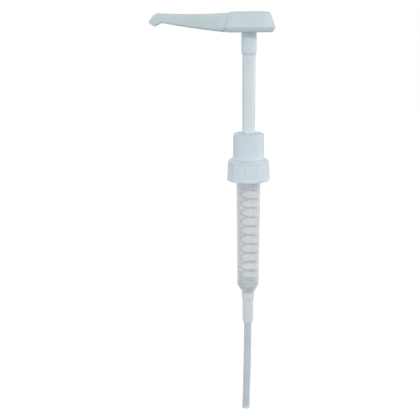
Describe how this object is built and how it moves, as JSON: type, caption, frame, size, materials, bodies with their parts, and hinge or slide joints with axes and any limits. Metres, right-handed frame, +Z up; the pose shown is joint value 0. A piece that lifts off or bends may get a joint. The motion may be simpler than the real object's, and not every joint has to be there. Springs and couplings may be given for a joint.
{
  "type": "condiment pump dispenser",
  "caption": "Hand pump for a jug: push head with a long spout on a sprung plunger, guide collar, fluted screw cap, clear barrel with ball valves and a dip tube.",
  "frame": {"origin": "on the pump's axis, in the plane where the gasket meets the lip of the jug", "axes": "+Z up along the stem to the head, -X along the spout, +Y away from the picture's viewer"},
  "size_m": [0.1202, 0.0426, 0.4107],
  "materials": {
    "white_polypropylene": "smooth white moulded polypropylene with a soft sheen",
    "stem_plastic": "white extruded polypropylene tube, smooth",
    "barrel_clear": "natural polypropylene, milky and translucent",
    "tube_clear": "natural polyethylene tube, translucent grey-white",
    "soft_seal": "soft white seal, matt",
    "cage_plastic": "natural moulded polypropylene",
    "steel": "stainless steel, drawn wire and ground balls"
  },
  "bodies": {
    "barrel": {"barrel": "barrel_clear", "collar": "white_polypropylene", "stem_guide": "white_polypropylene", "stem_wiper": "soft_seal", "neck_gasket": "soft_seal", "ball_cage": "cage_plastic", "dip_tube": "tube_clear", "spring": "steel"},
    "piston": {"piston_body": "white_polypropylene", "piston_seal": "soft_seal"},
    "head": {"head_shell": "white_polypropylene", "head_base": "white_polypropylene", "stem": "stem_plastic"},
    "screw_cap": {"screw_cap": "white_polypropylene"},
    "inlet_ball": {"inlet_ball": "steel"},
    "outlet_ball": {"outlet_ball": "steel"}
  },
  "joints": [
    {"name": "plunge", "type": "slide", "parent": "barrel", "child": "piston", "axis": [0, 0, -1], "range_m": [0, 0.0744], "stiffness_N_per_m": 540, "springref_m": -0.02, "deforming": ["spring"]},
    {"name": "head_swivel", "type": "hinge", "parent": "piston", "child": "head", "pos_m": [0, 0, 0.1], "axis": [0, 0, 1], "continuous": true},
    {"name": "cap_turn", "type": "hinge", "parent": "barrel", "child": "screw_cap", "pos_m": [0, 0, 0], "axis": [0, 0, 1], "continuous": true},
    {"name": "inlet_ball_lift", "type": "slide", "parent": "barrel", "child": "inlet_ball", "axis": [0, 0, 1], "range_m": [0, 0.0028]},
    {"name": "outlet_ball_lift", "type": "slide", "parent": "piston", "child": "outlet_ball", "axis": [0, 0, 1], "range_m": [0, 0.004]}
  ]
}
